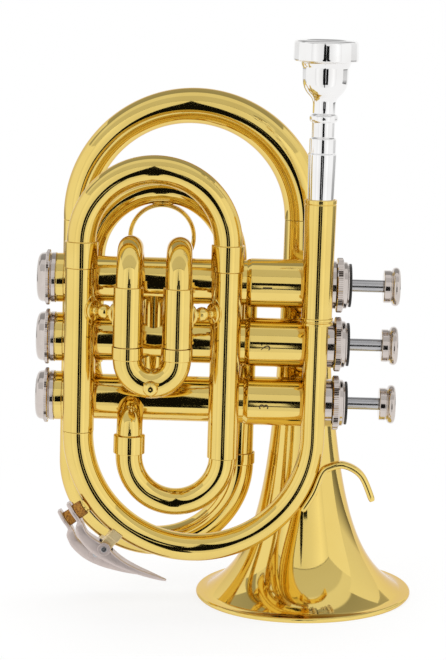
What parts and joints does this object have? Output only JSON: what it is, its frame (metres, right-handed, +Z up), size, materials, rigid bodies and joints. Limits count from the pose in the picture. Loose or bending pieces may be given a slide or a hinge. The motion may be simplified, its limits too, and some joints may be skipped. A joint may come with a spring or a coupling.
{
  "type": "pocket trumpet",
  "caption": "Small coiled brass trumpet that stands on its bell, with piston valves, pull slides, a finger ring and hook, water keys and a silver mouthpiece that pulls out.",
  "frame": {"origin": "on the floor, under the middle of the bounding box", "axes": "+Z up, bell mouth down and mouthpiece up; +X towards the valve buttons; -Y towards the leadpipe and tuning slide"},
  "size_m": [0.1644, 0.1212, 0.2485],
  "materials": {
    "brass": "polished, clear lacquer",
    "nickel": "polished nickel plate",
    "silver": "polished silver plate on brass",
    "steel": "ground",
    "felt": "black felt",
    "cork": "brown cork"
  },
  "bodies": {
    "horn": {"valve_1_casing": "brass", "valve_1_spring": "steel", "valve_1_top_cap": "nickel", "valve_1_felt": "felt", "valve_1_bottom_cap": "nickel", "valve_2_casing": "brass", "valve_2_spring": "steel", "valve_2_top_cap": "nickel", "valve_2_felt": "felt", "valve_2_bottom_cap": "nickel", "valve_3_casing": "brass", "valve_3_spring": "steel", "valve_3_top_cap": "nickel", "valve_3_felt": "felt", "valve_3_bottom_cap": "nickel", "knuckle_1_2": "brass", "knuckle_2_3": "brass", "receiver": "brass", "leadpipe": "brass", "tuning_tube_left": "brass", "tuning_tube_right": "brass", "small_bow": "brass", "entry_elbow": "brass", "first_tube_left": "brass", "first_tube_right": "brass", "second_tube_left": "brass", "second_tube_right": "brass", "third_tube_left": "brass", "third_tube_right": "brass", "bell_tail": "brass", "rear_bow": "brass", "brace_left": "brass", "brace_right": "brass", "bell_brace_upper": "brass", "bell_brace_lower": "brass", "leadpipe_pad": "brass", "finger_hook": "brass", "front_key_post": "brass", "rear_key_post": "brass", "top_loop": "brass", "bell": "brass"},
    "valve_1_body": {"valve_1_piston": "steel", "valve_1_stem": "steel", "valve_1_button": "nickel"},
    "valve_2_body": {"valve_2_piston": "steel", "valve_2_stem": "steel", "valve_2_button": "nickel"},
    "valve_3_body": {"valve_3_piston": "steel", "valve_3_stem": "steel", "valve_3_button": "nickel"},
    "main_tuning_slide": {"tuning_slide": "brass"},
    "first_valve_slide": {"first_slide": "brass"},
    "second_valve_slide": {"second_slide": "brass"},
    "third_valve_slide": {"third_slide": "brass", "finger_ring": "brass"},
    "loose_mouthpiece": {"mouthpiece": "silver"},
    "front_water_key": {"front_key_lever": "nickel", "front_key_cork": "cork"},
    "rear_water_key": {"rear_key_lever": "nickel", "rear_key_cork": "cork"}
  },
  "joints": [
    {"name": "valve_1_press", "type": "slide", "parent": "horn", "child": "valve_1_body", "axis": [-0.9996, 0, 0.0288], "range_m": [0, 0.013], "stiffness_N_per_m": 120, "springref_m": -0.01, "deforming": ["valve_1_spring"]},
    {"name": "valve_2_press", "type": "slide", "parent": "horn", "child": "valve_2_body", "axis": [-0.9996, 0, 0.0288], "range_m": [0, 0.013], "stiffness_N_per_m": 120, "springref_m": -0.01, "deforming": ["valve_2_spring"]},
    {"name": "valve_3_press", "type": "slide", "parent": "horn", "child": "valve_3_body", "axis": [-0.9996, 0, 0.0288], "range_m": [0, 0.013], "stiffness_N_per_m": 120, "springref_m": -0.01, "deforming": ["valve_3_spring"]},
    {"name": "tuning_slide_pull", "type": "slide", "parent": "horn", "child": "main_tuning_slide", "axis": [0.0288, 0, 0.9996], "range_m": [0, 0.02]},
    {"name": "first_slide_pull", "type": "slide", "parent": "horn", "child": "first_valve_slide", "axis": [-0.0288, 0, -0.9996], "range_m": [0, 0.015]},
    {"name": "second_slide_pull", "type": "slide", "parent": "horn", "child": "second_valve_slide", "axis": [0, 1, 0], "range_m": [0, 0.01]},
    {"name": "third_slide_pull", "type": "slide", "parent": "horn", "child": "third_valve_slide", "axis": [0.0288, 0, 0.9996], "range_m": [0, 0.015]},
    {"name": "mouthpiece_pull", "type": "slide", "parent": "horn", "child": "loose_mouthpiece", "axis": [0.0288, 0, 0.9996], "range_m": [0, 0.03]},
    {"name": "front_key_open", "type": "hinge", "parent": "horn", "child": "front_water_key", "pos_m": [-0.05223, -0.03445, 0.0336], "axis": [0, -1, 0], "range_deg": [0, 12], "stiffness_Nm_per_rad": 0.04, "springref_deg": -34.38},
    {"name": "rear_key_open", "type": "hinge", "parent": "horn", "child": "rear_water_key", "pos_m": [-0.0586, 0.01255, 0.01859], "axis": [0, -1, 0], "range_deg": [0, 12], "stiffness_Nm_per_rad": 0.04, "springref_deg": -34.38}
  ]
}
